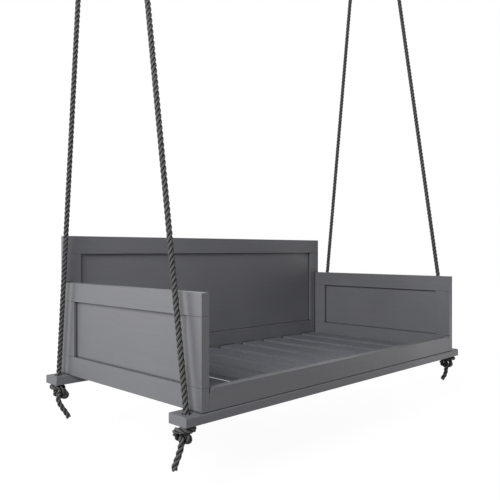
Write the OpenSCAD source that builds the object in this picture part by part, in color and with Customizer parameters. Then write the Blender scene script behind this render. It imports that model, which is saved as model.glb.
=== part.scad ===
// Hanging swing bed: a timber day bed with a panelled back and two panelled arms, on two long planks
// that hang from four ropes. Millimetres, +X to the right, +Y to the back, +Z up.
// The origin is on the ceiling, in the middle of the four hangers.

/* [Bed] */
// Length over the two arms
bed_l = 2000; // [1400:10:2200]
// Depth from the front of the arms to the front face of the back
bed_d = 1034; // [700:2:1200]
// Thickness of the boards of the arms, the back and the front rail
board_t = 38; // [28:1:50]
// Height of the arms above the planks
arm_h = 450; // [320:5:600]
// Height of the back above the planks
back_h = 680; // [480:5:800]

/* [Framed panels] */
// Height of the arms' top rails
arm_top_rail_h = 90; // [60:1:120]
// Height of the arms' bottom rails
arm_bottom_rail_h = 92; // [90:1:120]
// Width of the arms' stiles
arm_stile_w = 88; // [70:1:120]
// Height of the back's top rail
back_top_rail_h = 90; // [60:1:120]
// Height of the back's bottom rail
back_bottom_rail_h = 105; // [90:1:130]
// Width of the back's stiles
back_stile_w = 88; // [70:1:120]
// Thickness of the flat panels
panel_t = 6; // [4:0.5:12]
// Depth of the grooves that hold the panels
groove_depth = 12; // [6:1:20]

/* [Front rail] */
// Height of the front rail
rail_h = 87; // [80:1:120]
// Radius of the front rail's upper corners
rail_corner_r = 28; // [5:1:40]

/* [Planks] */
// Width of the two planks
plank_w = 105; // [95:1:140]
// Thickness of the two planks
plank_t = 40; // [30:1:60]
// Length of plank that stands out past each arm
plank_overhang = 75; // [60:1:110]
// How far the front plank stands out in front of the arms
plank_front_lip = 2; // [0:0.5:8]
// Distance from the front plank's front edge to the middle of its rope holes
hole_inset_front = 42.5; // [40:0.5:50]
// How far the back plank stands out behind the back
plank_back_lip = 8; // [0:0.5:12]
// Radius of the planks' long outer upper edges
plank_edge_r = 10; // [2:1:14]

/* [Slats] */
// Number of slats
slat_n = 10; // [10:1:10]
// Width of a slat
slat_w = 129; // [80:1:145]
// Thickness of a slat
slat_t = 20; // [14:1:25]
// Distance from the inside of an arm to the middle of the nearest slat
slat_margin = 91; // [80:1:110]

/* [Fasteners] */
// Diameter of the slat screws
slat_screw_d = 4.5; // [3.5:0.5:6]
// Length of the slat screws
slat_screw_l = 45; // [35:1:55]
// Diameter of the screws that come up through the planks
plank_screw_d = 8; // [6:0.5:10]
// Length of the screws that come up through the planks
plank_screw_l = 85; // [70:1:90]
// Diameter of the screws through the back into the arms
back_screw_d = 6; // [5:0.5:8]
// Length of the screws through the back into the arms
back_screw_l = 90; // [70:1:100]
// Diameter of the dowels
dowel_d = 10; // [6:1:12]
// Length of the dowels
dowel_l = 60; // [40:1:60]

/* [Ropes] */
// Diameter of the ropes
rope_d = 25; // [16:1:28]
// Diameter of the rope holes in the planks
rope_hole_d = 40; // [36:1:46]
// Radius of the eye splice at its thick end
splice_r = 16.5; // [13:0.5:18]
// Length of the eye splice
splice_l = 180; // [100:5:250]

/* [Ceiling] */
// Height of the ceiling above the top of the planks
ceiling_h = 2680; // [2300:10:3200]
// Distance between the front and the back hangers
hanger_gap = 302; // [200:1:500]
// Distance from the front of the arms back to the middle between the hangers
hanger_middle = 597; // [500:1:700]

/* [Hangers and shackles] */
// Length of a hanger's plate, along the bed
plate_l = 92; // [84:1:120]
// Width of a hanger's plate
plate_w = 46; // [40:1:70]
// Thickness of a hanger's plate and ears
plate_t = 5; // [4:0.5:8]
// Distance between the two holes of a plate
plate_hole_gap = 64; // [56:1:72]
// Diameter of the holes of a plate
plate_hole_d = 9; // [6:0.5:10]
// Height from the hanger pin to the ceiling
pin_drop = 40; // [36:1:60]
// Diameter of the hanger pin
hanger_pin_d = 14; // [10:0.5:16]
// Thickness of the shackle's bar
shackle_bar_d = 14; // [10:0.5:15]
// Inner width of the shackle
shackle_jaw = 36; // [36:1:44]
// Length of the shackle's straight legs
shackle_leg = 45; // [40:1:60]
// Diameter of the shackle pin
shackle_pin_d = 16; // [12:0.5:18]
// Inner radius of the thimble's crown
thimble_r = 20; // [16:0.5:24]
// Thickness of the thimble under the rope
thimble_t = 3; // [2:0.5:5]

/* [Hidden] */
slat_names = [for (i = [1 : slat_n]) str("slat_", i < 10 ? "0" : "", i)];

// Clearances
panel_gap = 0.2;
seat_gap = 0.3;
hole_gap = 0.2;
pin_gap = 0.2;
slat_end_gap = 1;
ear_gap = 3;
rocking_gap = 0.6;
open_pivot_gap = 0.8;

wood = [0.33, 0.34, 0.36];
steel = [0.62, 0.63, 0.65];
rope_colour = [0.17, 0.17, 0.18];
bare_wood = [0.72, 0.58, 0.42];

// Outer faces and lines of the bed. The middle of the bed is at x = 0, the front of the arms at
// y = 0 and the top of the planks at z = 0.
arm_x = bed_l / 2;
arm_in_x = arm_x - board_t;
arm_mid_x = arm_x - board_t / 2;
back_y = bed_d + board_t;
front_plank_y = -plank_front_lip;
back_plank_y = back_y + plank_back_lip - plank_w;
hole_x = arm_x + plank_overhang / 2;
hole_front_y = front_plank_y + hole_inset_front;
hole_back_y = back_plank_y + plank_w / 2;
pivot_z = -plank_t / 2;
hanger_front_y = hanger_middle - hanger_gap / 2;
hanger_back_y = hanger_middle + hanger_gap / 2;
pin_z = ceiling_h - pin_drop;

// Slats lie on the inner part of both planks.
slat_front_y = board_t + slat_end_gap;
slat_back_y = bed_d - slat_end_gap;
slat_pitch = 2 * (arm_in_x - slat_margin) / (slat_n - 1);
slat_screw_inset = 30;
slat_screw_side = slat_w / 2 - 22.5;

// Places of the other screws and dowels
arm_screw_front_y = [55, 85];
arm_screw_back_inset = [14, 44];
long_screw_n = 5;
long_screw_margin = 120;
back_screw_past_dowel = 38;
back_screw_under_top = 40;
low_dowel_end = arm_bottom_rail_h + dowel_l / 2;
high_dowel_end = arm_h - arm_top_rail_h - dowel_l / 2;
back_screw_z = [low_dowel_end + back_screw_past_dowel, high_dowel_end - back_screw_past_dowel,
                arm_h - back_screw_under_top];
dowel_spread = 22;
rail_dowel_z = [18, 48];
rail_dowel_in_arm = 25;

// The hanger's ears, and the shackle along its own line, measured down from the hanger pin
ear_x = shackle_bar_d / 2 + ear_gap;
ear_r = hanger_pin_d / 2 + 10;
bow_r = shackle_jaw / 2 + shackle_bar_d / 2;
bow_z = hanger_pin_d / 2 + seat_gap + shackle_bar_d / 2 - bow_r;
shackle_pin_z = bow_z - shackle_leg;
shackle_eye_r = shackle_pin_d / 2 + 6;
shackle_eye_t = shackle_bar_d + 2;

// The thimble and the rope's eye round it
crown_z = shackle_pin_z + shackle_pin_d / 2 + seat_gap - thimble_r;
eye_r = thimble_r + thimble_t + seat_gap + rope_d / 2;
thimble_half_w = rope_d / 2 + 3;
thimble_flange = 9;
eye_taper = 20;
eye_end_x = 5;
eye_leg = (eye_r * cos(eye_taper) - eye_end_x) / sin(eye_taper);
thimble_leg = (thimble_r * cos(eye_taper) - 2) / sin(eye_taper);
throat_z = crown_z - eye_r * sin(eye_taper) - eye_leg * cos(eye_taper);

// Middle line of the knots, an overhand knot, from the stem in the hole down to the start of the tail.
// The rope goes down, behind its tail, up on the left, in front of the stem as a collar, round behind
// it, and down through the loop. A hand of -1 mirrors it. Each knot is then turned about its hole, and
// its own tail goes on from there.
knot_body = [[0, 0, 20], [0, 0, -4], [-1.5, -3, -18.5], [1.5, -10, -29], [6.5, -13.5, -40.5],
             [9, -9.5, -52], [5, 3, -61], [-6, 15, -66], [-19, 22, -66], [-32, 23, -58],
             [-40, 16, -46], [-42, 4, -34], [-41, -9, -23], [-34, -22, -14.6], [-19, -30, -12.4],
             [-1, -32, -13.5], [16, -25, -14], [24, -9, -15], [23, 8, -17], [11, 23, -20],
             [-3, 26, -28], [-12, 18.5, -37.5], [-16.5, 3, -43], [-17, -8.5, -50],
             [-18, -12.5, -63]];
tail_front_left = [[-21, 11, -87], [-24, 15, -105], [-28, 20, -125], [-34, 26, -147],
                   [-37, 29, -168]];
tail_front_right = [[-19, 9, -84], [-18, 11, -98], [-20, 14, -114], [-26, 20, -130],
                    [-33, 28, -145]];
tail_back_left = [[-9, -20, -84], [-1, -22, -102], [10, -27, -122], [23, -34, -144],
                  [33, -40, -165]];
tail_back_right = [[0, -24, -84], [0, -24, -100], [2, -25, -118], [4, -28, -138], [6, -32, -156]];
turn_front_left = -45;
turn_front_right = -45;
turn_back_left = -85;
turn_back_right = 60;
knot_sides = 10;
knot_steps = 3;
knot_apart = 9;

$fn = 48;

module at_bed() translate([0, -hanger_middle, -ceiling_h]) children();

// A box given by its lowest and highest corners
module block(a, b) translate(a) cube([b.x - a.x, b.y - a.y, b.z - a.z]);

// ---------------------------------------------------------------- screws and dowels

module screw(d, l, head_d) {
    head_l = (head_d - d) / 2;
    translate([0, 0, -l]) cylinder(h = l - head_l, d = d);
    translate([0, 0, -head_l]) cylinder(h = head_l, d1 = d, d2 = head_d);
}

module screw_hole(d, l, head_d) {
    screw(d + 2 * hole_gap, l + hole_gap, head_d + 2 * hole_gap);
}

module at_slat_screws(x) {
    for (dx = [-slat_screw_side, slat_screw_side], y = [slat_front_y + slat_screw_inset,
                                                        slat_back_y - slat_screw_inset])
        translate([x + dx, y, slat_t]) children();
}

function slat_x(i) = (i - (slat_n - 1) / 2) * slat_pitch;

function spread(n, from, to) = [for (i = [0 : n - 1]) from + i * (to - from) / (n - 1)];

arm_screw_back_y = [for (inset = arm_screw_back_inset) bed_d - inset];
rail_screw_x = spread(long_screw_n, -arm_in_x + long_screw_margin, arm_in_x - long_screw_margin);

// Screws come up through a plank, heads level with its underside.
module at_plank_screws(points) {
    for (p = points) translate([p.x, p.y, -plank_t]) rotate([180, 0, 0]) children();
}

front_plank_points = concat(
    [for (side = [-1, 1], y = arm_screw_front_y) [side * arm_mid_x, y]],
    [for (x = rail_screw_x) [x, board_t / 2]]);
back_plank_points = concat(
    [for (side = [-1, 1], y = arm_screw_back_y) [side * arm_mid_x, y]],
    [for (x = rail_screw_x) [x, bed_d + board_t / 2]]);

module plank_screw() screw(plank_screw_d, plank_screw_l, plank_screw_d * 2);
module plank_screw_hole() screw_hole(plank_screw_d, plank_screw_l, plank_screw_d * 2);

module at_back_screws() {
    for (side = [-1, 1], z = back_screw_z)
        translate([side * arm_mid_x, back_y, z]) rotate([-90, 0, 0]) children();
}
module back_screw() screw(back_screw_d, back_screw_l, back_screw_d * 2);
module back_screw_hole() screw_hole(back_screw_d, back_screw_l, back_screw_d * 2);

module dowel(extra = 0) cylinder(h = dowel_l + 2 * extra, d = dowel_d + 2 * extra, center = true);

module at_arm_dowels() {
    for (side = [-1, 1], y = [arm_stile_w / 2, bed_d - arm_stile_w / 2], dy = [-dowel_spread,
         dowel_spread], z = [arm_bottom_rail_h, arm_h - arm_top_rail_h])
        translate([side * arm_mid_x, y + dy, z]) children();
}

module at_back_dowels() {
    for (side = [-1, 1], dx = [-dowel_spread, dowel_spread], z = [back_bottom_rail_h,
         back_h - back_top_rail_h])
        translate([side * (arm_x - back_stile_w / 2) + dx, bed_d + board_t / 2, z]) children();
}

module at_rail_dowels() {
    for (side = [-1, 1], z = rail_dowel_z)
        translate([side * (arm_in_x + rail_dowel_in_arm - dowel_l / 2), board_t / 2, z])
            rotate([0, 90, 0]) children();
}

// ---------------------------------------------------------------- planks, slats and front rail

// A plank with its outer upper edge rounded. side is -1 for the front plank and 1 for the back.
module plank(y, side, points) {
    length = bed_l + 2 * plank_overhang;
    outer = side < 0 ? y : y + plank_w;
    rope_hole_y = hole_y(side);
    color(wood) difference() {
        translate([-length / 2, 0, 0]) rotate([90, 0, 90]) linear_extrude(length) difference() {
            translate([y, -plank_t]) square([plank_w, plank_t]);
            difference() {
                translate([outer - (side < 0 ? 0 : plank_edge_r), -plank_edge_r])
                    square([plank_edge_r, plank_edge_r]);
                translate([outer - side * plank_edge_r, -plank_edge_r]) circle(plank_edge_r);
            }
        }
        for (x = [-hole_x, hole_x])
            translate([x, rope_hole_y, -plank_t - 1]) cylinder(h = plank_t + 2, d = rope_hole_d);
        at_plank_screws(points) plank_screw_hole();
        for (i = [0 : slat_n - 1])
            at_slat_screws(slat_x(i)) screw_hole(slat_screw_d, slat_screw_l, slat_screw_d * 2);
    }
}

module slat(i) {
    x = slat_x(i);
    color(wood) difference() {
        block([x - slat_w / 2, slat_front_y, 0], [x + slat_w / 2, slat_back_y, slat_t]);
        at_slat_screws(x) screw_hole(slat_screw_d, slat_screw_l, slat_screw_d * 2);
    }
}

module front_rail() {
    color(wood) difference() {
        translate([0, board_t, 0]) rotate([90, 0, 0]) linear_extrude(board_t) union() {
            translate([-arm_in_x, 0]) square([2 * arm_in_x, rail_h - rail_corner_r]);
            translate([-arm_in_x + rail_corner_r, 0])
                square([2 * (arm_in_x - rail_corner_r), rail_h]);
            for (side = [-1, 1])
                translate([side * (arm_in_x - rail_corner_r), rail_h - rail_corner_r])
                    circle(rail_corner_r);
        }
        at_plank_screws(front_plank_points) plank_screw_hole();
        at_rail_dowels() dowel(hole_gap);
    }
}

// ---------------------------------------------------------------- arms

// The solid of an arm's panel, larger by its clearance where it cuts the groove
module arm_panel(side, extra) {
    t = panel_t / 2 + extra;
    block([side * arm_mid_x - t, arm_stile_w - groove_depth - extra,
           arm_bottom_rail_h - groove_depth - extra],
          [side * arm_mid_x + t, bed_d - arm_stile_w + groove_depth + extra,
           arm_h - arm_top_rail_h + groove_depth + extra]);
}

module arm_cuts(side) {
    arm_panel(side, panel_gap);
    at_arm_dowels() dowel(hole_gap);
    at_back_screws() back_screw_hole();
}

module arm_rail(side, z0, z1) {
    color(wood) difference() {
        block([side * arm_mid_x - board_t / 2, 0, z0], [side * arm_mid_x + board_t / 2, bed_d, z1]);
        arm_cuts(side);
        at_plank_screws(front_plank_points) plank_screw_hole();
        at_plank_screws(back_plank_points) plank_screw_hole();
        at_rail_dowels() dowel(hole_gap);
    }
}

module arm_stile(side, y0) {
    color(wood) difference() {
        block([side * arm_mid_x - board_t / 2, y0, arm_bottom_rail_h],
              [side * arm_mid_x + board_t / 2, y0 + arm_stile_w, arm_h - arm_top_rail_h]);
        arm_cuts(side);
    }
}

// ---------------------------------------------------------------- back

module back_panel(extra) {
    t = panel_t / 2 + extra;
    y = bed_d + board_t / 2;
    block([-arm_x + back_stile_w - groove_depth - extra, y - t,
           back_bottom_rail_h - groove_depth - extra],
          [arm_x - back_stile_w + groove_depth + extra, y + t,
           back_h - back_top_rail_h + groove_depth + extra]);
}

module back_cuts() {
    back_panel(panel_gap);
    at_back_dowels() dowel(hole_gap);
    at_back_screws() back_screw_hole();
}

module back_rail(z0, z1) {
    color(wood) difference() {
        block([-arm_x, bed_d, z0], [arm_x, back_y, z1]);
        back_cuts();
        at_plank_screws(back_plank_points) plank_screw_hole();
    }
}

module back_stile(side) {
    color(wood) difference() {
        block([side < 0 ? -arm_x : arm_x - back_stile_w, bed_d, back_bottom_rail_h],
              [side < 0 ? -arm_x + back_stile_w : arm_x, back_y, back_h - back_top_rail_h]);
        back_cuts();
    }
}

// ---------------------------------------------------------------- hangers, shackles and ropes

// Corner names as signs: x is -1 on the left and 1 on the right, y is -1 in front and 1 behind.
function hanger_y(sy) = sy < 0 ? hanger_front_y : hanger_back_y;
function hole_y(sy) = sy < 0 ? hole_front_y : hole_back_y;
function rope_tilt(sy) = atan2(hole_y(sy) - hanger_y(sy), pin_z - pivot_z);
function rope_run(sy) = norm([hole_y(sy) - hanger_y(sy), pin_z - pivot_z]);

// From a corner's hanger pin, with -Z down along its rope
module hang(sx, sy) {
    translate([sx * hole_x, hanger_y(sy), pin_z]) rotate([rope_tilt(sy), 0, 0]) children();
}

module hanger(sx, sy) {
    color(steel) translate([sx * hole_x, hanger_y(sy), 0]) difference() {
        union() {
            block([-plate_l / 2, -plate_w / 2, ceiling_h - plate_t], [plate_l / 2, plate_w / 2, ceiling_h]);
            for (side = [-1, 1]) {
                x0 = side < 0 ? -ear_x - plate_t : ear_x;
                block([x0, -ear_r, pin_z], [x0 + plate_t, ear_r, ceiling_h - plate_t]);
                translate([x0, 0, pin_z]) rotate([0, 90, 0]) cylinder(h = plate_t, r = ear_r);
            }
        }
        for (x = [-plate_hole_gap / 2, plate_hole_gap / 2])
            translate([x, 0, ceiling_h - plate_t - 1]) cylinder(h = plate_t + 2, d = plate_hole_d);
        translate([-plate_l / 2, 0, pin_z]) rotate([0, 90, 0])
            cylinder(h = plate_l, d = hanger_pin_d + 2 * pin_gap);
    }
}

module hanger_pin(sx, sy) {
    length = 2 * (ear_x + plate_t + pin_gap);
    head_l = 4;
    translate([sx * hole_x, hanger_y(sy), pin_z]) rotate([0, 90, 0]) {
        cylinder(h = length, d = hanger_pin_d, center = true);
        for (side = [-1, 1])
            translate([0, 0, side * (length + head_l) / 2])
                cylinder(h = head_l, d = hanger_pin_d + 8, center = true);
    }
}

module shackle(sx, sy) {
    color(steel) hang(sx, sy) difference() {
        union() {
            translate([0, 0, bow_z]) rotate([90, 0, 90]) rotate_extrude(angle = 180)
                translate([bow_r, 0]) circle(d = shackle_bar_d);
            for (side = [-1, 1]) {
                translate([0, side * bow_r, shackle_pin_z])
                    cylinder(h = shackle_leg, d = shackle_bar_d);
                translate([0, side * bow_r, shackle_pin_z]) rotate([90, 0, 0])
                    cylinder(h = shackle_eye_t, r = shackle_eye_r, center = true);
            }
        }
        translate([0, 0, shackle_pin_z]) rotate([90, 0, 0])
            cylinder(h = 3 * bow_r, d = shackle_pin_d + 2 * pin_gap, center = true);
    }
}

module shackle_pin(sx, sy) {
    length = 2 * bow_r + shackle_eye_t + 6;
    head_l = 7;
    hang(sx, sy) translate([0, 0, shackle_pin_z]) rotate([90, 0, 0]) {
        cylinder(h = length, d = shackle_pin_d, center = true);
        translate([0, 0, bow_r + shackle_eye_t / 2 + pin_gap])
            cylinder(h = head_l, d = shackle_pin_d + 10);
    }
}

// The thimble's section, from the crown's middle outward
module thimble_section() {
    difference() {
        translate([thimble_r, -thimble_half_w])
            square([thimble_t + thimble_flange, 2 * thimble_half_w]);
        translate([eye_r, 0]) circle(rope_d / 2 + seat_gap);
    }
}

module thimble(sx, sy) {
    color(steel) hang(sx, sy) translate([0, 0, crown_z]) rotate([90, 0, 0]) {
        rotate([0, 0, -eye_taper]) rotate_extrude(angle = 180 + 2 * eye_taper) thimble_section();
        for (side = [0, 1]) mirror([side, 0, 0]) rotate([0, 0, -eye_taper])
            rotate([90, 0, 0]) linear_extrude(thimble_leg) thimble_section();
    }
}

// The rope from its eye down to the open pivot in the plank's hole
module rope(sx, sy) {
    run = rope_run(sy);
    color(rope_colour) hang(sx, sy) {
        translate([0, 0, crown_z]) rotate([90, 0, 0]) {
            rotate([0, 0, -eye_taper]) rotate_extrude(angle = 180 + 2 * eye_taper)
                translate([eye_r, 0]) circle(d = rope_d);
            for (side = [0, 1]) mirror([side, 0, 0]) rotate([0, 0, -eye_taper])
                translate([eye_r, 0, 0]) rotate([90, 0, 0]) cylinder(h = eye_leg, d = rope_d);
        }
        translate([0, 0, throat_z - splice_l])
            cylinder(h = splice_l, r1 = rope_d / 2, r2 = splice_r);
        translate([0, 0, throat_z]) sphere(splice_r);
        translate([0, 0, -run]) cylinder(h = run + throat_z, d = rope_d);
        translate([0, 0, -run]) sphere(d = rope_d);
    }
}

// ---------------------------------------------------------------- knots

// A point of a smooth curve through a list of points, at a place between point i and the next
function curve_point(p, i, t) =
    let (a = p[max(i - 1, 0)], b = p[i], c = p[i + 1], d = p[min(i + 2, len(p) - 1)])
    0.5 * (2 * b + (c - a) * t + (2 * a - 5 * b + 4 * c - d) * t * t
           + (3 * b - a - 3 * c + d) * t * t * t);

function curve(p, steps) = concat(
    [for (i = [0 : len(p) - 2], s = [0 : steps - 1]) curve_point(p, i, s / steps)],
    [p[len(p) - 1]]);

// The least gap between two stretches of a tube that lie some points apart along it
function least_gap(p, d, apart) = min([for (i = [0 : len(p) - 1], j = [i + apart : 1 : len(p) - 1])
    norm(p[i] - p[j])]) - d;

function unit(v) = v / norm(v);
function direction(p, i) = unit(p[min(i + 1, len(p) - 1)] - p[max(i - 1, 0)]);
function across(v, d) = unit(v - d * (v * d));

// Side directions along a curve, each turned from the last as little as possible
function sides_along(p, i = 0, last = [1, 0, 0]) =
    i == len(p) ? [] :
    let (s = across(last, direction(p, i)))
    concat([s], sides_along(p, i + 1, s));

// A round tube along a curve, closed by a point at each end
module tube(p, d, sides) {
    across_list = sides_along(p);
    rings = [for (i = [0 : len(p) - 1])
        let (u = across_list[i], v = cross(direction(p, i), u))
        for (k = [0 : sides - 1])
            p[i] + d / 2 * (cos(360 * k / sides) * u + sin(360 * k / sides) * v)];
    n = len(p);
    walls = [for (i = [0 : n - 2], k = [0 : sides - 1])
        let (a = i * sides + k, b = i * sides + (k + 1) % sides)
        each [[a, a + sides, b], [b, a + sides, b + sides]]];
    start = [for (k = [0 : sides - 1]) [n * sides, k, (k + 1) % sides]];
    end = [for (k = [0 : sides - 1])
        [n * sides + 1, (n - 1) * sides + (k + 1) % sides, (n - 1) * sides + k]];
    polyhedron(concat(rings, [p[0], p[n - 1]]), concat(walls, start, end));
}

function turned(p, a) = [p.x * cos(a) - p.y * sin(a), p.x * sin(a) + p.y * cos(a), p.z];

// The knot under a plank. drop is the clearance between its collar and the plank, stem_gap the one
// between its stem and the rope's round end.
module knot(sx, sy, hand, turn, tail, drop, stem_gap) {
    top = plank_t / 2 - rope_d / 2 - stem_gap + drop;
    body = [for (p = knot_body) turned([hand * p.x, p.y, p.z], turn)];
    route = concat([[0, 0, top]], [for (i = [1 : len(body) - 1]) body[i]], tail);
    path = curve(route, knot_steps);
    echo(str("least gap of a knot to itself, in mm: ", least_gap(path, rope_d, knot_apart)));
    color(rope_colour) translate([sx * hole_x, hole_y(sy), -plank_t - drop])
        tube(path, rope_d, knot_sides);
}

// ---------------------------------------------------------------- nodes

module slat_screws() {
    color(steel) for (i = [0 : slat_n - 1])
        at_slat_screws(slat_x(i)) screw(slat_screw_d, slat_screw_l, slat_screw_d * 2);
}

module plank_screws() {
    color(steel) at_plank_screws(concat(front_plank_points, back_plank_points)) plank_screw();
}

module back_screws() color(steel) at_back_screws() back_screw();

module rail_dowels() color(bare_wood) at_rail_dowels() dowel();

module frame_dowels() {
    color(bare_wood) {
        at_arm_dowels() dowel();
        at_back_dowels() dowel();
    }
}

module hanger_pins() color(steel) for (sx = [-1, 1], sy = [-1, 1]) hanger_pin(sx, sy);
module shackle_pins(sy) color(steel) for (sx = [-1, 1]) shackle_pin(sx, sy);

at_bed() {
    plank(front_plank_y, -1, front_plank_points);  // front_plank
    plank(back_plank_y, 1, back_plank_points);  // back_plank
    arm_rail(-1, arm_h - arm_top_rail_h, arm_h);  // left_arm_top_rail
    arm_rail(-1, 0, arm_bottom_rail_h);  // left_arm_bottom_rail
    arm_stile(-1, 0);  // left_arm_front_stile
    arm_stile(-1, bed_d - arm_stile_w);  // left_arm_back_stile
    color(wood) arm_panel(-1, 0);  // left_arm_panel
    arm_rail(1, arm_h - arm_top_rail_h, arm_h);  // right_arm_top_rail
    arm_rail(1, 0, arm_bottom_rail_h);  // right_arm_bottom_rail
    arm_stile(1, 0);  // right_arm_front_stile
    arm_stile(1, bed_d - arm_stile_w);  // right_arm_back_stile
    color(wood) arm_panel(1, 0);  // right_arm_panel
    back_rail(back_h - back_top_rail_h, back_h);  // back_top_rail
    back_rail(0, back_bottom_rail_h);  // back_bottom_rail
    back_stile(-1);  // back_left_stile
    back_stile(1);  // back_right_stile
    color(wood) back_panel(0);
    front_rail();
    for (i = [0 : slat_n - 1])
        slat(i);
    slat_screws();
    plank_screws();
    back_screws();
    rail_dowels();
    frame_dowels();
    hanger(-1, -1);  // hanger_front_left
    hanger(1, -1);  // hanger_front_right
    hanger(-1, 1);  // hanger_back_left
    hanger(1, 1);  // hanger_back_right
    hanger_pins();
    shackle(-1, -1);  // shackle_front_left
    shackle(1, -1);  // shackle_front_right
    shackle(-1, 1);  // shackle_back_left
    shackle(1, 1);  // shackle_back_right
    shackle_pins(-1);  // front_shackle_pins
    shackle_pins(1);  // back_shackle_pins
    thimble(-1, -1);  // thimble_front_left
    thimble(1, -1);  // thimble_front_right
    thimble(-1, 1);  // thimble_back_left
    thimble(1, 1);  // thimble_back_right
    rope(-1, -1);  // rope_front_left
    rope(1, -1);  // rope_front_right
    rope(-1, 1);  // rope_back_left
    rope(1, 1);  // rope_back_right
    knot(-1, -1, 1, turn_front_left, tail_front_left, rocking_gap, seat_gap);  // knot_front_left
    knot(1, -1, 1, turn_front_right, tail_front_right, seat_gap, open_pivot_gap);  // knot_front_right
    knot(-1, 1, -1, turn_back_left, tail_back_left, seat_gap, open_pivot_gap);  // knot_back_left
    knot(1, 1, 1, turn_back_right, tail_back_right, seat_gap, open_pivot_gap);  // knot_back_right
}
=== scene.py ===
"""The looks of a hanging swing bed: painted boards, three-strand ropes with knots, steel fittings.

Metres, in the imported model's frame: +X to the right, +Y to the back, +Z up, origin on the ceiling.
"""

import math

import bpy
import numpy as np
from mathutils import Matrix, Vector

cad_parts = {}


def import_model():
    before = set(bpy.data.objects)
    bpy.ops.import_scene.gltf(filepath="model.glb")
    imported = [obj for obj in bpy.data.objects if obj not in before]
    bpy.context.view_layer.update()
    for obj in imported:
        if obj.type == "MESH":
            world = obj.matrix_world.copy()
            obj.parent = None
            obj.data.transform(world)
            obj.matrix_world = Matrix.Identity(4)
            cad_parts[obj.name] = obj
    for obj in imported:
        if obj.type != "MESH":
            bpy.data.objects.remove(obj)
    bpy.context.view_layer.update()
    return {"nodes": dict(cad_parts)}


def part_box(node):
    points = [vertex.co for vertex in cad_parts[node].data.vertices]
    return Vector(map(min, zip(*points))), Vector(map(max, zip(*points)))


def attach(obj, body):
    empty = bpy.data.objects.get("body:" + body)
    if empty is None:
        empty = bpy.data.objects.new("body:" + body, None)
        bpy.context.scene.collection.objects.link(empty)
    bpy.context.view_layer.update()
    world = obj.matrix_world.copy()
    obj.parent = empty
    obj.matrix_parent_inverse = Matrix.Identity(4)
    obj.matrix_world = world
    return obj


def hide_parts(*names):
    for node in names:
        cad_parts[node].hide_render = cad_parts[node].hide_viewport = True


MM = 0.001
CORNERS = [("front", "left"), ("front", "right"), ("back", "left"), ("back", "right")]

# Ropes: a laid rope of three strands
ROPE_D = 25 * MM
STRANDS = 3
LAY_LENGTH = 70 * MM  # along the rope, for one turn of a strand
SLACK_LAY_LENGTH = 78 * MM  # the same in the knots and tails, which carry no load
STRAND_R = 6 * MM
STRAND_OFF_AXIS = ROPE_D / 2 - STRAND_R
RING_STEP = 4.5 * MM  # between two rings of a strand's mesh
KNOT_RING_STEP = 0.7 * RING_STEP
STRAND_SIDES = 14
CURVE_STEPS = 6  # of a smooth curve between two of its given points
KNOT_CURVE_STEPS = 12
ROPE_PATH_RINGS = 4  # the path returned with a rope has every fourth ring's middle, and with a knot every third
KNOT_PATH_RINGS = 3
YARNS = 9  # seen on the surface of a strand
YARN_LAY = 60 * MM  # along the strand, for one turn of a yarn
ROUND_END_LEAST = 0.03  # how far a rope's round end in the hole closes, as a share of its section

# The eye at a rope's upper end, measured as in the construction
PIN_DROP = 40 * MM
HANGER_PIN_R = 7 * MM
BAR_R = 7 * MM
JAW = 36 * MM
LEG = 45 * MM
SHACKLE_PIN_R = 8 * MM
THIMBLE_R = 20 * MM
THIMBLE_T = 3 * MM
SEAT_GAP = 0.3 * MM
EYE_TAPER = math.radians(20)
EYE_END_X = 5 * MM
ARC_POINTS = 45
STRAIGHT_END = 40 * MM  # under the throat: from here the rope leans to one side of the eye
THROAT_SIDE = STRAND_OFF_AXIS + 3 * MM  # from the axis to each leg of the eye
NECK_BELOW = 12 * MM  # the rope leaves its axis here, under the throat
NECK_START = 0.2  # by this share of the way to the side
NECK_ABOVE = 18 * MM  # and is all at the side here, over the throat

# The strands of the eye's end, tucked back into the rope
SPLICE_L = 180 * MM
TUCK_ABOVE_THROAT = 8 * MM
TUCK_STEP = 3 * MM
TUCK_LAY = 1.6 * LAY_LENGTH
TUCK_OFF_AXIS = 7.2 * MM  # where it passes under a strand of the rope
TUCK_RISE = 3.6 * MM  # and how much further out it passes over the next
TUCK_R = 5.6 * MM
TUCK_TIP = 0.12  # what is left of a tucked strand's section at its end

PLANK_OVERHANG = 75 * MM
HOLE_INSET = {"front": 42.5 * MM, "back": 52.5 * MM}  # from a plank's front edge to its holes

# The knots under the planks: the middle line of an overhand knot, then each knot's own tail, in mm
# from the point under the plank in the middle of the rope hole.
KNOT_BODY = [
    (0, 0, -4), (-1.5, -3, -18.5), (1.5, -10, -29), (6.5, -13.5, -40.5), (9, -9.5, -52),
    (5, 3, -61), (-6, 15, -66), (-19, 22, -66), (-32, 23, -58), (-40, 16, -46), (-42, 4, -34),
    (-41, -9, -23), (-34, -22, -14.6), (-19, -30, -12.4), (-1, -32, -13.5), (16, -25, -14),
    (24, -9, -15), (23, 8, -17), (11, 23, -20), (-3, 26, -28), (-12, 18.5, -37.5),
    (-16.5, 3, -43), (-17, -8.5, -50), (-18, -12.5, -63),
]
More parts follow.
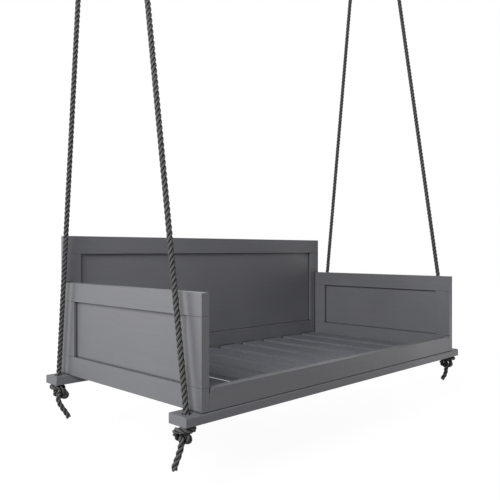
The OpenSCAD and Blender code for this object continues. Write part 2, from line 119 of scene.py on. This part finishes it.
# Corner: top of the stem, hand, turn about the hole in degrees, clearance under the plank, tail
KNOTS = {
    ("front", "left"): (7.8, 1, -45, 0.6, [(-21, 11, -87), (-24, 15, -105), (-28, 20, -125),
                                           (-34, 26, -147), (-37, 29, -168)]),
    ("front", "right"): (7, 1, -45, 0.3, [(-19, 9, -84), (-18, 11, -98), (-20, 14, -114),
                                          (-26, 20, -130), (-33, 28, -145)]),
    ("back", "left"): (7, -1, -85, 0.3, [(-9, -20, -84), (-1, -22, -102), (10, -27, -122),
                                         (23, -34, -144), (33, -40, -165)]),
    ("back", "right"): (7, 1, 60, 0.3, [(0, -24, -84), (0, -24, -100), (2, -25, -118),
                                        (4, -28, -138), (6, -32, -156)]),
}

# Eased edges
BOARD_EDGE = 1.4 * MM
SLAT_EDGE = 0.8 * MM
STEEL_EDGE = 0.6 * MM
EASED_ANGLE = math.radians(35)
EASED_LENGTH = 8 * MM  # boards' edges shorter than this are rims of holes

# Greys as shown, from 0 to 255, and tints of the paint
BOARD_GREY = 112
BOARD_TINT = (0.985, 0.99, 1.03)
SLAT_GREY = 113
SLAT_TINT = (0.97, 0.99, 1.05)
ROPE_GREYS = (4, 66, 112)  # painted shade in grooves, the strand's own black, painted highlight on yarn crests
GALVANISED_GREY = 165
SCREW_GREY = 150

# Wear of the paint and a painted highlight on edges; painted shade in corners, recesses and grooves
EDGE_WEAR_AND_HIGHLIGHT_REACH = 2.5 * MM
EDGE_WEAR_AND_HIGHLIGHT_AMOUNT = 0.7
EDGE_WEAR_AND_HIGHLIGHT_LIGHTER = 1.12
CREVICE_SHADE_REACH = 9 * MM
CREVICE_SHADE_POWER = 2.0
CREVICE_SHADE_DARKER = 0.15
GROOVE_SHADE_REACH = 6 * MM
GROOVE_SHADE_POWER = 3.8

# Camera, at the photograph's place
CAMERA_AT = (-2.458, -2.301, -2.070)
CAMERA_TURN = math.radians(-45.16)
LENS = 43.24
SENSOR = 36.0

# Stage
FLOOR_UNDER_PLANKS = 0.3
FLOOR_HALF = 14.0
FLOOR_GREY = 0.07  # the share of light given back to the bed, and missing in its shadow
SHADOW_FADE = (2.5, 6.0)  # the shadow fades out between these distances from the bed's middle
PAGE_WHITE = (1.0, 1.0, 1.0, 1.0)

# Lamps: place, size, power in watts
LAMPS = {
    "key_left": ((-4.6, -1.9, 0.3), 3.0, 275),
    "back_left": ((-5.0, 3.5, -1.5), 3.0, 86),
    "front": ((0.5, -6.0, -1.8), 3.5, 8),
    "low_right": ((2.4, -1.7, -2.8), 0.4, 3.4),
    "behind": ((4.5, 4.2, -1.4), 3.0, 45),
}
LAMP_TARGET = (0.0, -0.1, -2.5)


# ---------------------------------------------------------------- materials


class Shader:
    """A node material under construction, with its Principled shader."""

    def __init__(self, name):
        self.material = bpy.data.materials.new(name)
        self.material.use_nodes = True
        self.tree = self.material.node_tree
        self.base = self.tree.nodes["Principled BSDF"]

    def node(self, kind, settings=None, **inputs):
        """A new node. Inputs are values or (node, output) pairs, by the socket's name or place."""
        made = self.tree.nodes.new(kind)
        for key, value in (settings or {}).items():
            setattr(made, key, value)
        for key, value in inputs.items():
            self.put(made, key.replace("_", " "), value)
        return made

    def put(self, node, socket, value):
        """Sets a socket, or links it to a (node, output) pair."""
        target = node.inputs[int(socket)] if str(socket).isdigit() else node.inputs[socket]
        if isinstance(value, tuple) and isinstance(value[0], bpy.types.Node):
            self.tree.links.new(value[0].outputs[value[1]], target)
        else:
            target.default_value = value

    def math(self, operation, a, b=0.0):
        made = self.tree.nodes.new("ShaderNodeMath")
        made.operation = operation
        for place, value in enumerate((a, b)):
            self.put(made, place, value)
        return (made, 0)

    def colours(self, factor, stops):
        """A colour ramp from (place, colour) stops, read at factor."""
        ramp = self.tree.nodes.new("ShaderNodeValToRGB")
        ramp.color_ramp.elements[0].position, ramp.color_ramp.elements[0].color = stops[0]
        ramp.color_ramp.elements[1].position, ramp.color_ramp.elements[1].color = stops[-1]
        for place, colour in stops[1:-1]:
            ramp.color_ramp.elements.new(place).color = colour
        self.put(ramp, "Fac", factor)
        return (ramp, "Color")

    def bump(self, height, distance, strength=1.0, normal=None):
        made = self.node("ShaderNodeBump", Height=height, Distance=distance, Strength=strength)
        if normal:
            self.put(made, "Normal", normal)
        return (made, "Normal")

    def finish(self, **inputs):
        for key, value in inputs.items():
            self.put(self.base, key.replace("_", " "), value)
        return self.material


def linear(grey, tint=(1.0, 1.0, 1.0)):
    """A colour from a 0 to 255 display grey and a tint."""
    channel = [max(0.0, grey * t) / 255 for t in tint]
    return tuple(((c + 0.055) / 1.055) ** 2.4 if c > 0.04 else c / 12.92 for c in channel) + (1.0,)


def painted_wood(name, axis, grey, tint):
    """Satin paint over planed timber whose grain runs along one axis, lighter on its edges from wear
    and a painted highlight, with painted shade in its corners and joints.
    """
    s = Shader(name)
    place = s.node("ShaderNodeTexCoord")
    across_grain, along_grain = 60.0, 4.0
    stretch = [across_grain] * 3
    stretch[axis] = along_grain
    grain_place = s.node("ShaderNodeMapping", Vector=(place, "Object"), Scale=stretch)
    grain = s.node("ShaderNodeTexNoise", Vector=(grain_place, 0), Scale=1.0, Detail=5.0,
                   Roughness=0.6, Distortion=0.6)
    cloud = s.node("ShaderNodeTexNoise", Vector=(place, "Object"), Scale=3.1, Detail=3.0)
    fine = s.node("ShaderNodeTexNoise", Vector=(place, "Object"), Scale=900.0, Detail=2.0)
    tone = s.math("ADD", s.math("MULTIPLY", (grain, "Fac"), 0.45),
                  s.math("MULTIPLY", (cloud, "Fac"), 0.55))
    colour = s.colours(tone, [(0.25, linear(grey * 0.95, tint)), (0.75, linear(grey * 1.05, tint))])
    # Lighter paint on the edges: partly wear, partly a painted highlight
    edge = s.node("ShaderNodeBevel", {"samples": 4}, Radius=EDGE_WEAR_AND_HIGHLIGHT_REACH)
    flat = s.node("ShaderNodeNewGeometry")
    bend = s.node("ShaderNodeVectorMath", {"operation": "DOT_PRODUCT"})
    s.put(bend, 0, (edge, "Normal"))
    s.put(bend, 1, (flat, "Normal"))
    rubbed_and_highlit = s.math("MULTIPLY", s.math("SUBTRACT", 1.0, (bend, "Value")), EDGE_WEAR_AND_HIGHLIGHT_AMOUNT)
    worn_and_highlit = s.node("ShaderNodeMix", {"data_type": "RGBA"})
    s.put(worn_and_highlit, "Factor", rubbed_and_highlit)
    s.put(worn_and_highlit, 6, colour)
    s.put(worn_and_highlit, 7, linear(grey * EDGE_WEAR_AND_HIGHLIGHT_LIGHTER, tint))
    # Painted shade: darker in corners, recesses and joints, where shade falls
    crevice_shade = s.node("ShaderNodeAmbientOcclusion", {"samples": 12}, Distance=CREVICE_SHADE_REACH)
    shade = s.node("ShaderNodeMix", {"data_type": "RGBA"})
    s.put(shade, "Factor", s.math("POWER", (crevice_shade, "AO"), CREVICE_SHADE_POWER))
    s.put(shade, 6, linear(grey * CREVICE_SHADE_DARKER, tint))
    s.put(shade, 7, (worn_and_highlit, 2))
    rough = s.math("ADD", 0.40, s.math("MULTIPLY", (cloud, "Fac"), 0.16))
    bumps = s.bump((grain, "Fac"), 0.25 * MM, 0.35)
    bumps = s.bump((fine, "Fac"), 0.04 * MM, 0.4, bumps)
    return s.finish(Base_Color=(shade, 2), Roughness=rough, Normal=bumps)


def bare_wood():
    """Unpainted beech, for the dowels, with its grain along their height."""
    s = Shader("bare_beech")
    place = s.node("ShaderNodeTexCoord")
    grain_place = s.node("ShaderNodeMapping", Vector=(place, "Object"), Scale=(120.0, 120.0, 12.0))
    grain = s.node("ShaderNodeTexNoise", Vector=(grain_place, 0), Scale=1.0, Detail=4.0)
    colour = s.colours((grain, "Fac"), [(0.3, (0.42, 0.24, 0.12, 1)), (0.7, (0.60, 0.40, 0.22, 1))])
    return s.finish(Base_Color=colour, Roughness=0.6, Normal=s.bump((grain, "Fac"), 0.1 * MM, 0.4))


def rope_fibre():
    """Black twisted polypropylene: yarns wound the other way in each strand, with fine fibres,
    painted shade in the grooves and a painted highlight on the yarn crests.
    """
    s = Shader("black_rope")
    lay = s.node("ShaderNodeAttribute", {"attribute_name": "lay"})
    split = s.node("ShaderNodeSeparateXYZ", Vector=(lay, "Vector"))
    around, along, ply = (split, "X"), (split, "Y"), (split, "Z")
    turn = s.math("ADD", s.math("MULTIPLY", around, float(YARNS)),
                  s.math("MULTIPLY", along, -YARNS / YARN_LAY))
    saw = s.math("FRACT", turn)
    ridge = s.math("SINE", s.math("MULTIPLY", saw, math.pi))
    where = s.node("ShaderNodeCombineXYZ", X=turn, Y=s.math("MULTIPLY", along, 9.0), Z=ply)
    fibre = s.node("ShaderNodeTexNoise", Vector=(where, 0), Scale=6.0, Detail=3.0)
    place = s.node("ShaderNodeTexCoord")
    dust = s.node("ShaderNodeTexNoise", Vector=(place, "Object"), Scale=55.0, Detail=2.0)
    # Painted shade: darker in the grooves between the strands
    groove_shade = s.node("ShaderNodeAmbientOcclusion", {"samples": 8, "only_local": True},
                    Distance=GROOVE_SHADE_REACH)
    # Lighter on the yarn crests and darker between yarns: painted highlight and shade; fibres and
    # dust are the rope's own
    tone = s.math("ADD", s.math("MULTIPLY", ridge, 0.6),
                  s.math("ADD", s.math("MULTIPLY", (fibre, "Fac"), 0.35),
                         s.math("MULTIPLY", (dust, "Fac"), 0.2)))
    tone = s.math("MULTIPLY", tone, s.math("POWER", (groove_shade, "AO"), GROOVE_SHADE_POWER))
    colour = s.colours(tone, list(zip((0.05, 0.45, 0.85), map(linear, ROPE_GREYS))))
    bumps = s.bump(ridge, 0.9 * MM, 0.8)
    bumps = s.bump((fibre, "Fac"), 0.25 * MM, 0.5, bumps)
    return s.finish(Base_Color=colour, Roughness=0.6, Specular_IOR_Level=0.15, Normal=bumps)


def zinc(name, grey, rough):
    """Galvanised or zinc plated steel, with a faint spangle."""
    s = Shader(name)
    place = s.node("ShaderNodeTexCoord")
    spangle = s.node("ShaderNodeTexVoronoi", Vector=(place, "Object"), Scale=260.0)
    cloud = s.node("ShaderNodeTexNoise", Vector=(place, "Object"), Scale=70.0, Detail=4.0)
    colour = s.colours((spangle, "Distance"),
                       [(0.0, linear(grey * 1.06)), (0.8, linear(grey * 0.9))])
    roughness = s.math("ADD", rough, s.math("MULTIPLY", (cloud, "Fac"), 0.18))
    bumps = s.bump((cloud, "Fac"), 0.12 * MM, 0.4)
    return s.finish(Base_Color=colour, Metallic=1.0, Roughness=roughness, Normal=bumps)


# ---------------------------------------------------------------- meshes


def curve_through(points, steps):
    """A smooth curve through a list of points."""
    p = np.asarray(points, float)
    found = []
    for i in range(len(p) - 1):
        a, b, c, d = p[max(i - 1, 0)], p[i], p[i + 1], p[min(i + 2, len(p) - 1)]
        for t in np.arange(steps) / steps:
            found.append(0.5 * (2 * b + (c - a) * t + (2 * a - 5 * b + 4 * c - d) * t * t
                                + (3 * b - a - 3 * c + d) * t ** 3))
    return np.array(found + [p[-1]])


def lengths_along(points):
    """The length of the line up to each of its points."""
    steps = np.linalg.norm(np.diff(points, axis=0), axis=1)
    return np.concatenate([[0.0], np.cumsum(steps)])


def evenly(points, step):
    """The same line with its points a step apart."""
    run = lengths_along(points)
    count = max(2, int(round(run[-1] / step)) + 1)
    at = np.linspace(0.0, run[-1], count)
    return np.column_stack([np.interp(at, run, points[:, axis]) for axis in range(3)])


def frames_along(points):
    """Directions, and two sides square to them that turn as little as they can along the line."""
    ahead = np.gradient(points, axis=0)
    ahead /= np.linalg.norm(ahead, axis=1)[:, None]
    side = np.array([1.0, 0.0, 0.0])
    across = np.empty_like(points)
    for i, direction in enumerate(ahead):
        side = side - direction * side.dot(direction)
        side /= np.linalg.norm(side)
        across[i] = side
    return ahead, across, np.cross(ahead, across)


def strand_line(path, number, off_axis, lay_length):
    """The middle line of one strand of a rope along path. off_axis has one value per point."""
    _, across, up = frames_along(path)
    turn = 2 * math.pi * (number / STRANDS + lengths_along(path) / lay_length)
    return path + off_axis[:, None] * (np.cos(turn)[:, None] * across + np.sin(turn)[:, None] * up)


class Mesh:
    """Vertices and faces being gathered, with the rope's own coordinates at every face corner."""

    def __init__(self):
        self.points, self.faces, self.lay = [], [], []

    def tube(self, line, radii, sides, ply):
        """A closed round tube along a line, with a radius for each of its points."""
        _, across, up = frames_along(line)
        run = lengths_along(line)
        first = sum(len(p) for p in self.points)
        angle = 2 * math.pi * np.arange(sides) / sides
        ring = (np.cos(angle)[None, :, None] * across[:, None, :]
                + np.sin(angle)[None, :, None] * up[:, None, :]) * radii[:, None, None]
        self.points.append((line[:, None, :] + ring).reshape(-1, 3))
        for i in range(len(line) - 1):
            for k in range(sides):
                a, b = first + i * sides + k, first + i * sides + (k + 1) % sides
                self.faces.append((a, b, b + sides, a + sides))
                self.lay += [(k / sides, run[i], ply), ((k + 1) / sides, run[i], ply),
                             ((k + 1) / sides, run[i + 1], ply), (k / sides, run[i + 1], ply)]
        last = first + (len(line) - 1) * sides
        self.faces.append(tuple(first + k for k in reversed(range(sides))))
        self.lay += [(k / sides, run[0], ply) for k in reversed(range(sides))]
        self.faces.append(tuple(last + k for k in range(sides)))
        self.lay += [(k / sides, run[-1], ply) for k in range(sides)]

    def build(self, name, material):
        mesh = bpy.data.meshes.new(name)
        mesh.from_pydata(np.concatenate(self.points).tolist(), [], self.faces)
        mesh.polygons.foreach_set("use_smooth", [len(f) == 4 for f in self.faces])
        attribute = mesh.attributes.new("lay", "FLOAT_VECTOR", "CORNER")
        attribute.data.foreach_set("vector", np.array(self.lay, np.float32).ravel())
        mesh.materials.append(material)
        made = bpy.data.objects.new(name, mesh)
        bpy.context.scene.collection.objects.link(made)
        return made


# ---------------------------------------------------------------- ropes and knots


def corner_name(kind, corner):
    return f"{kind}_{corner[0]}_{corner[1]}"


def corner_places(corner):
    """The hanger pin and the middle of the rope hole at one corner."""
    end, side = corner
    low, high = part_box(f"{end}_plank")
    x = low.x + PLANK_OVERHANG / 2 if side == "left" else high.x - PLANK_OVERHANG / 2
    hanger_low, hanger_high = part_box(corner_name("hanger", corner))
    pin = Vector((x, (hanger_low.y + hanger_high.y) / 2, hanger_high.z - PIN_DROP))
    hole = Vector((x, low.y + HOLE_INSET[end], (low.z + high.z) / 2))
    return pin, hole


def eye_line():
    """The eye's middle line from throat to throat, x across and z up from the hanger pin."""
    bow_z = HANGER_PIN_R + SEAT_GAP + BAR_R - (JAW / 2 + BAR_R)
    crown_z = bow_z - LEG + SHACKLE_PIN_R + SEAT_GAP - THIMBLE_R
    radius = THIMBLE_R + THIMBLE_T + SEAT_GAP + ROPE_D / 2
    leg = (radius * math.cos(EYE_TAPER) - EYE_END_X) / math.sin(EYE_TAPER)
    throat_z = crown_z - radius * math.sin(EYE_TAPER) - leg * math.cos(EYE_TAPER)
    arc = np.linspace(-EYE_TAPER, math.pi + EYE_TAPER, ARC_POINTS)
    bend = np.column_stack([radius * np.cos(arc), 0 * arc, crown_z + radius * np.sin(arc)])
    return bend, throat_z


def rope_piece(corner, material):
    """A rope from its end in the plank's hole up to its eye, with the strands tucked back in."""
    pin, hole = corner_places(corner)
    run = (pin - hole).length
    bend, throat_z = eye_line()
    start = np.array([[0, 0, -run - ROPE_D / 2], [0, 0, throat_z - STRAIGHT_END]])
    neck = np.array([[NECK_START * THROAT_SIDE, 0, throat_z - NECK_BELOW],
                     [THROAT_SIDE, 0, throat_z + NECK_ABOVE]])
    back = neck[::-1] * (-1, 1, 1)
    path = np.concatenate([start, neck, bend, back])
    smooth = np.concatenate([start[:1], curve_through(path[1:], CURVE_STEPS)])
    core = evenly(smooth, RING_STEP)
    height = np.clip((core[:, 2] + run) / (-ROPE_D / 2), 0.0, 1.0)
    shrink = np.sqrt(np.clip(1.0 - height ** 2, ROUND_END_LEAST, 1.0))
    mesh = Mesh()
    for number in range(STRANDS):
        line = strand_line(core, number, STRAND_OFF_AXIS * shrink, LAY_LENGTH)
        mesh.tube(line, STRAND_R * shrink, STRAND_SIDES, number)
        tuck(mesh, number, throat_z)
    piece = mesh.build(corner_name("laid_rope", corner), material)
    tilt = math.atan2(hole.y - pin.y, pin.z - hole.z)
    place = Matrix.Translation(pin) @ Matrix.Rotation(tilt, 4, "X")
    piece.data.transform(place)
    middle = [place @ Vector(p) for p in core[::ROPE_PATH_RINGS]]
    return piece, middle


def tuck(mesh, number, throat_z):
    """One strand of the eye's end, woven against the lay down the rope and out to a point."""
    down = np.linspace(0.0, SPLICE_L, int(SPLICE_L / TUCK_STEP))
    fade = 1.0 - (down / SPLICE_L) ** 2
    turn = 2 * math.pi * number / STRANDS - 2 * math.pi * down / TUCK_LAY
    over = 0.5 + 0.5 * np.cos(STRANDS / 2 * (turn + 2 * math.pi * down / LAY_LENGTH))
    radius = TUCK_OFF_AXIS + TUCK_RISE * over * fade
    height = throat_z + TUCK_ABOVE_THROAT - down
    line = np.column_stack([radius * np.cos(turn), radius * np.sin(turn), height])
    thickness = TUCK_R * np.sqrt(np.clip(fade, TUCK_TIP, 1.0))
    mesh.tube(line, thickness, STRAND_SIDES, number + STRANDS)


def knot_piece(corner, material):
    """The overhand knot under a plank and its free tail."""
    _, hole = corner_places(corner)
    top, hand, degrees, drop, tail = KNOTS[corner]
    turn = Matrix.Rotation(math.radians(degrees), 4, "Z")
    body = [turn @ Vector((hand * x, y, z)) for x, y, z in KNOT_BODY]
    low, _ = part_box(f"{corner[0]}_plank")
    origin = Vector((hole.x, hole.y, low.z - drop * MM))
    route = [(0, 0, top), *body, *tail]
    path = np.array([origin + Vector(p) * MM for p in route])
    core = evenly(curve_through(path, KNOT_CURVE_STEPS), KNOT_RING_STEP)
    off_axis = np.full(len(core), STRAND_OFF_AXIS)
    radii = np.full(len(core), STRAND_R)
    mesh = Mesh()
    for number in range(STRANDS):
        line = strand_line(core, number, off_axis, SLACK_LAY_LENGTH)
        mesh.tube(line, radii, STRAND_SIDES, number)
    piece = mesh.build(corner_name("overhand_knot", corner), material)
    return piece, [Vector(p) for p in core[::KNOT_PATH_RINGS]]


# ---------------------------------------------------------------- stage


def lamp(name, place, size, power):
    """A round soft lamp that points at the bed."""
    data = bpy.data.lights.new(name, "AREA")
    data.shape = "DISK"
    data.size = size
    data.energy = power
    made = bpy.data.objects.new(name, data)
    made.location = place
    made.rotation_euler = (Vector(LAMP_TARGET) - Vector(place)).to_track_quat("-Z", "Y").to_euler()
    bpy.context.scene.collection.objects.link(made)


def seen_rays(tree):
    """1 where the camera, a reflection or a view through glass sees the surface."""
    rays = tree.nodes.new("ShaderNodeLightPath")
    total = rays.outputs["Is Camera Ray"]
    for name in ("Is Glossy Ray", "Is Transmission Ray"):
        add = tree.nodes.new("ShaderNodeMath")
        add.operation = "MAXIMUM"
        tree.links.new(total, add.inputs[0])
        tree.links.new(rays.outputs[name], add.inputs[1])
        total = add.outputs[0]
    return total


def white_world():
    """A world that shows white and lights nothing."""
    world = bpy.data.worlds.new("page")
    bpy.context.scene.world = world
    world.use_nodes = True
    tree = world.node_tree
    light = tree.nodes["Background"]
    light.inputs["Strength"].default_value = 0.0
    page = tree.nodes.new("ShaderNodeBackground")
    page.inputs["Color"].default_value = PAGE_WHITE
    mix = tree.nodes.new("ShaderNodeMixShader")
    tree.links.new(seen_rays(tree), mix.inputs["Fac"])
    tree.links.new(light.outputs[0], mix.inputs[1])
    tree.links.new(page.outputs[0], mix.inputs[2])
    tree.links.new(mix.outputs[0], tree.nodes["World Output"].inputs["Surface"])


def pale_floor(ground_z):
    """A floor that shows white but for the bed's soft shadow, which fades out away from the bed."""
    mesh = bpy.data.meshes.new("floor")
    corners = [(x * FLOOR_HALF, y * FLOOR_HALF, 0) for x, y in ((-1, -1), (1, -1), (1, 1), (-1, 1))]
    mesh.from_pydata(corners, [], [(0, 1, 2, 3)])
    floor = bpy.data.objects.new("floor", mesh)
    floor.location.z = ground_z
    bpy.context.scene.collection.objects.link(floor)
    s = Shader("pale_floor")
    s.finish(Base_Color=(FLOOR_GREY, FLOOR_GREY, FLOOR_GREY, 1.0), Roughness=0.9)
    place = s.node("ShaderNodeTexCoord")
    away = s.node("ShaderNodeVectorMath", {"operation": "LENGTH"})
    s.put(away, 0, (place, "Object"))
    glow = s.node("ShaderNodeMapRange", From_Min=SHADOW_FADE[0], From_Max=SHADOW_FADE[1],
                  To_Min=1.0 - FLOOR_GREY, To_Max=1.0, Value=(away, "Value"))
    shown = s.math("MULTIPLY", (glow, "Result"))
    s.tree.links.new(seen_rays(s.tree), shown[0].inputs[1])
    page = s.node("ShaderNodeEmission", Color=PAGE_WHITE, Strength=shown)
    both = s.tree.nodes.new("ShaderNodeAddShader")
    s.tree.links.new(s.base.outputs[0], both.inputs[0])
    s.tree.links.new(page.outputs[0], both.inputs[1])
    s.tree.links.new(both.outputs[0], s.tree.nodes["Material Output"].inputs["Surface"])
    mesh.materials.append(s.material)


def camera():
    """A level camera where the photograph was taken from."""
    data = bpy.data.cameras.new("camera")
    data.lens = LENS
    data.sensor_width = SENSOR
    made = bpy.data.objects.new("camera", data)
    made.location = CAMERA_AT
    made.rotation_euler = (math.radians(90), 0, CAMERA_TURN)
    bpy.context.scene.collection.objects.link(made)
    bpy.context.scene.camera = made


# ---------------------------------------------------------------- the bed


def grain_axis(node):
    """The axis along which a board's grain runs: its longest side."""
    low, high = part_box(node)
    size = high - low
    return max(range(3), key=lambda axis: size[axis])


def long_sharp_edges():
    """Geometry nodes that mark a board's long edges for easing, and leave out the rims of holes."""
    group = bpy.data.node_groups.new("long sharp edges", "GeometryNodeTree")
    group.interface.new_socket("Geometry", in_out="INPUT", socket_type="NodeSocketGeometry")
    group.interface.new_socket("Geometry", in_out="OUTPUT", socket_type="NodeSocketGeometry")
    into, out = group.nodes.new("NodeGroupInput"), group.nodes.new("NodeGroupOutput")
    angle = group.nodes.new("GeometryNodeInputMeshEdgeAngle")
    ends = group.nodes.new("GeometryNodeInputMeshEdgeVertices")
    length = group.nodes.new("ShaderNodeVectorMath")
    length.operation = "DISTANCE"
    tests = []
    for least in (EASED_ANGLE, EASED_LENGTH):
        test = group.nodes.new("ShaderNodeMath")
        test.operation = "GREATER_THAN"
        test.inputs[1].default_value = least
        tests.append(test)
    both = group.nodes.new("ShaderNodeMath")
    both.operation = "MULTIPLY"
    store = group.nodes.new("GeometryNodeStoreNamedAttribute")
    store.data_type = "FLOAT"
    store.domain = "EDGE"
    store.inputs["Name"].default_value = "bevel_weight_edge"
    for start, end in ((into.outputs[0], store.inputs["Geometry"]),
                       (angle.outputs["Unsigned Angle"], tests[0].inputs[0]),
                       (ends.outputs["Position 1"], length.inputs[0]),
                       (ends.outputs["Position 2"], length.inputs[1]),
                       (length.outputs["Value"], tests[1].inputs[0]),
                       (tests[0].outputs[0], both.inputs[0]), (tests[1].outputs[0], both.inputs[1]),
                       (both.outputs[0], store.inputs["Value"]), (store.outputs[0], out.inputs[0])):
        group.links.new(start, end)
    return group


def ease_edges(piece, width, marks=None):
    """Small rounded edges on a CAD solid, whose own mesh stays as it is."""
    weld = piece.modifiers.new("join faces", "WELD")
    weld.merge_threshold = 0.01 * MM
    if marks:
        mark = piece.modifiers.new("mark edges", "NODES")
        mark.node_group = marks
    bevel = piece.modifiers.new("eased edges", "BEVEL")
    bevel.width = width
    bevel.segments = 2
    bevel.limit_method = "WEIGHT" if marks else "ANGLE"
    bevel.angle_limit = EASED_ANGLE
    bevel.use_clamp_overlap = marks is None
    bevel.harden_normals = True


def dress_nodes(nodes):
    """Each CAD node's material and eased edges. Ropes and knots get pieces of their own."""
    marks = long_sharp_edges()
    painted = [painted_wood(f"painted_wood_{'xyz'[axis]}", axis, BOARD_GREY, BOARD_TINT)
               for axis in range(3)]
    painted_slats = painted_wood("painted_slats", 1, SLAT_GREY, SLAT_TINT)
    galvanised = zinc("galvanised_steel", GALVANISED_GREY, 0.32)
    screw_steel = zinc("screw_steel", SCREW_GREY, 0.28)
    beech = bare_wood()
    for name, node in nodes.items():
        if name.startswith(("rope_", "knot_")):
            continue
        if name.startswith("slat_") and name != "slat_screws":
            finish, edge = painted_slats, SLAT_EDGE
        elif "screws" in name:
            finish, edge = screw_steel, 0
        elif "dowels" in name:
            finish, edge = beech, 0
        elif name.startswith(("hanger", "shackle", "thimble")) or name.endswith("shackle_pins"):
            finish, edge = galvanised, STEEL_EDGE
        else:
            finish, edge = painted[grain_axis(name)], BOARD_EDGE
        node.data.materials.clear()
        node.data.materials.append(finish)
        if edge:
            ease_edges(node, edge, None if finish is galvanised else marks)


def hang_ropes():
    """The ropes and knots, which replace their CAD nodes."""
    fibre = rope_fibre()
    for corner in CORNERS:
        knot, path = knot_piece(corner, fibre)
        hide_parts(corner_name("knot", corner))
        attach(knot, "front_left_knot" if corner == ("front", "left") else "bed")
    for corner in CORNERS:
        rope, path = rope_piece(corner, fibre)
        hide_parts(corner_name("rope", corner))
        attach(rope, f"{corner[0]}_{corner[1]}_rope")


def main():
    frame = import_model()
    scene = bpy.context.scene
    scene.view_settings.view_transform = "Standard"
    camera()
    hang_ropes()
    dress_nodes(frame["nodes"])
    white_world()
    low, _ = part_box("front_plank")
    pale_floor(low.z - FLOOR_UNDER_PLANKS)
    for name, (place, size, power) in LAMPS.items():
        lamp(name, place, size, power)


main()
